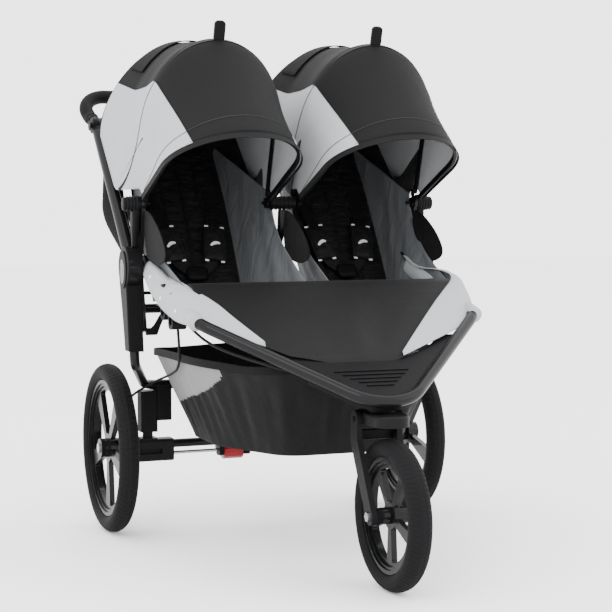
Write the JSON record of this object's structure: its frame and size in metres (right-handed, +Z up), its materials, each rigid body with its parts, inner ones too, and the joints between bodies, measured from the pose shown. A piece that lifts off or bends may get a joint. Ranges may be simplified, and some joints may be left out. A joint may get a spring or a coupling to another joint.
{
  "type": "jogging stroller",
  "caption": "Side-by-side jogging stroller on three spoked wheels with two canopies, two harnessed seats, a cargo basket, a padded handlebar and a swivelling front fork.",
  "frame": {"origin": "on the floor under the middle of the stroller's footprint", "axes": "+Z up, +Y toward the handlebar, -Y toward the front wheel, +X toward the rider's left as seated facing forward"},
  "size_m": [0.813, 1.266, 1.1658],
  "materials": {
    "frame_black": "satin",
    "bare_steel": "satin",
    "cast_dark": "matt",
    "plastic_black": "matt",
    "plastic_red": "semi-gloss",
    "rim_black": "semi-gloss",
    "tyre_rubber": "matt",
    "foam_grip": "matt",
    "cable_black": "satin",
    "cloth_grey": "woven",
    "cloth_black": "woven",
    "strap_black": "webbing",
    "spring_steel": "satin"
  },
  "bodies": {
    "front_frame": {"front_frame_tube": "frame_black", "front_hinge_lugs": "frame_black", "fold_hinge_pins": "bare_steel", "seat_cross_tubes": "frame_black", "rail_clamps": "plastic_black", "foot_tray": "plastic_black", "swivel_housing": "plastic_black", "seat_bases": "cloth_black", "footwell_panel": "cloth_black", "basket": "cloth_black", "swivel_cable": "cable_black"},
    "fork_head": {"fork_crown": "cast_dark"},
    "fork": {"fork_legs": "cast_dark", "front_axle": "bare_steel"},
    "front_wheel": {"front_tyre": "tyre_rubber", "front_rim": "rim_black"},
    "upper_frame": {"upper_tubes": "frame_black", "upper_hinge_hubs": "frame_black", "side_plates": "frame_black", "lock_hook_arm": "plastic_black", "rear_seat_tubes": "frame_black", "centre_post": "frame_black", "centre_canopy_hub": "plastic_black", "canopy_pins": "bare_steel", "handle_pivots": "plastic_black", "canopy_fabric_left": "cloth_grey", "canopy_fabric_right": "cloth_grey", "side_gussets": "cloth_black"},
    "canopy_middle_left": {"canopy_middle_bow_left": "plastic_black"},
    "canopy_middle_right": {"canopy_middle_bow_right": "plastic_black"},
    "canopy_front_left": {"canopy_front_bow_left": "plastic_black"},
    "canopy_front_right": {"canopy_front_bow_right": "plastic_black"},
    "seat_rest_left": {"seat_back_left": "cloth_black", "harness_left": "strap_black"},
    "seat_rest_right": {"seat_back_right": "cloth_black", "harness_right": "strap_black"},
    "handlebar": {"handlebar_tube": "frame_black", "handlebar_grip": "foam_grip", "hand_brake_mount": "plastic_black"},
    "button_left": {"handle_button_left": "plastic_black"},
    "button_right": {"handle_button_right": "plastic_black"},
    "brake_lever": {"hand_brake_lever": "frame_black"},
    "rear_frame": {"rear_legs": "plastic_black", "hinge_covers": "plastic_black", "rear_cross_tube": "frame_black", "suspension_pods": "plastic_black", "brake_cable": "cable_black"},
    "hook": {"lock_hook": "plastic_black"},
    "rear_axle": {"rear_axle_tube": "frame_black", "axle_castings": "cast_dark", "suspension_springs": "spring_steel", "brake_brackets": "plastic_black"},
    "pedal": {"brake_pedal": "plastic_red", "brake_rod": "bare_steel"},
    "rear_wheel_left": {"rear_tyre_left": "tyre_rubber", "rear_rim_left": "rim_black", "hub_cap_left": "bare_steel"},
    "rear_wheel_right": {"rear_tyre_right": "tyre_rubber", "rear_rim_right": "rim_black", "hub_cap_right": "bare_steel"}
  },
  "joints": [
    {"name": "frame_fold", "type": "hinge", "parent": "front_frame", "child": "upper_frame", "pos_m": [0, 0.169, 0.622], "axis": [1, 0, 0], "range_deg": [0, 125], "deforming": ["side_gussets", "canopy_fabric_left", "canopy_fabric_right", "canopy_middle_bow_left", "canopy_middle_bow_right", "canopy_front_bow_left", "canopy_front_bow_right"]},
    {"name": "rear_leg_fold", "type": "hinge", "parent": "front_frame", "child": "rear_frame", "pos_m": [0, 0.169, 0.622], "axis": [1, 0, 0], "range_deg": [-45, 0], "deforming": ["basket", "brake_cable"]},
    {"name": "rear_suspension", "type": "slide", "parent": "rear_frame", "child": "rear_axle", "axis": [0, 0, 1], "range_m": [0, 0.012], "stiffness_N_per_m": 12000, "springref_m": -0.02, "deforming": ["suspension_springs", "brake_cable"]},
    {"name": "rear_wheel_spin_left", "type": "hinge", "parent": "rear_axle", "child": "rear_wheel_left", "pos_m": [-0.3775, 0.289, 0.196], "axis": [1, 0, 0], "continuous": true},
    {"name": "rear_wheel_spin_right", "type": "hinge", "parent": "rear_axle", "child": "rear_wheel_right", "pos_m": [0.3775, 0.289, 0.196], "axis": [1, 0, 0], "continuous": true},
    {"name": "brake_pedal_press", "type": "hinge", "parent": "rear_axle", "child": "pedal", "pos_m": [0, 0.289, 0.176], "axis": [-1, 0, 0], "range_deg": [0, 25], "stiffness_Nm_per_rad": 0.6, "springref_deg": -28.65},
    {"name": "front_swivel", "type": "hinge", "parent": "front_frame", "child": "fork_head", "pos_m": [0, -0.424, 0.36], "axis": [0, 0, 1], "continuous": true},
    {"name": "front_suspension", "type": "hinge", "parent": "fork_head", "child": "fork", "pos_m": [0, -0.402, 0.336], "axis": [-1, 0, 0], "range_deg": [0, 4], "stiffness_Nm_per_rad": 60, "springref_deg": -14.32},
    {"name": "front_wheel_spin", "type": "hinge", "parent": "fork", "child": "front_wheel", "pos_m": [0, -0.481, 0.152], "axis": [1, 0, 0], "continuous": true},
    {"name": "handlebar_tilt", "type": "hinge", "parent": "upper_frame", "child": "handlebar", "pos_m": [0, 0.49269, 0.95024], "axis": [1, 0, 0], "range_deg": [-25, 25]},
    {"name": "canopy_left_middle", "type": "hinge", "parent": "upper_frame", "child": "canopy_middle_left", "pos_m": [-0.187, 0.155, 0.765], "axis": [-1, 0, 0], "range_deg": [0, 42], "deforming": ["canopy_fabric_left"]},
    {"name": "canopy_left", "type": "hinge", "parent": "upper_frame", "child": "canopy_front_left", "pos_m": [-0.187, 0.155, 0.765], "axis": [-1, 0, 0], "range_deg": [0, 45], "deforming": ["canopy_fabric_left"]},
    {"name": "seat_recline_left", "type": "hinge", "parent": "upper_frame", "child": "seat_rest_left", "pos_m": [-0.187, 0.214, 0.56], "axis": [-1, 0, 0], "range_deg": [0, 25]},
    {"name": "handle_button_press_left", "type": "slide", "parent": "upper_frame", "child": "button_left", "axis": [1, 0, 0], "range_m": [0, 0.0035], "stiffness_N_per_m": 400, "springref_m": -0.004},
    {"name": "canopy_right_middle", "type": "hinge", "parent": "upper_frame", "child": "canopy_middle_right", "pos_m": [0.187, 0.155, 0.765], "axis": [-1, 0, 0], "range_deg": [0, 42], "deforming": ["canopy_fabric_right"]},
    {"name": "canopy_right", "type": "hinge", "parent": "upper_frame", "child": "canopy_front_right", "pos_m": [0.187, 0.155, 0.765], "axis": [-1, 0, 0], "range_deg": [0, 45], "deforming": ["canopy_fabric_right"]},
    {"name": "seat_recline_right", "type": "hinge", "parent": "upper_frame", "child": "seat_rest_right", "pos_m": [0.187, 0.214, 0.56], "axis": [-1, 0, 0], "range_deg": [0, 25]},
    {"name": "handle_button_press_right", "type": "slide", "parent": "upper_frame", "child": "button_right", "axis": [-1, 0, 0], "range_m": [0, 0.0035], "stiffness_N_per_m": 400, "springref_m": -0.004},
    {"name": "hand_brake_squeeze", "type": "hinge", "parent": "handlebar", "child": "brake_lever", "pos_m": [0.201, 0.611, 0.986], "axis": [0, 0, -1], "range_deg": [0, 12], "stiffness_Nm_per_rad": 0.8, "springref_deg": -28.65},
    {"name": "lock_hook_swing", "type": "hinge", "parent": "upper_frame", "child": "hook", "pos_m": [-0.318, 0.125, 0.478], "axis": [0, 1, 0], "range_deg": [0, 20], "stiffness_Nm_per_rad": 0.05, "springref_deg": -28.65}
  ],
  "couplings": [
    {"joint": "rear_leg_fold", "follows": "frame_fold", "ratio": -0.36},
    {"joint": "canopy_left_middle", "follows": "canopy_left", "ratio": 0.9333},
    {"joint": "canopy_right_middle", "follows": "canopy_right", "ratio": 0.9333}
  ]
}
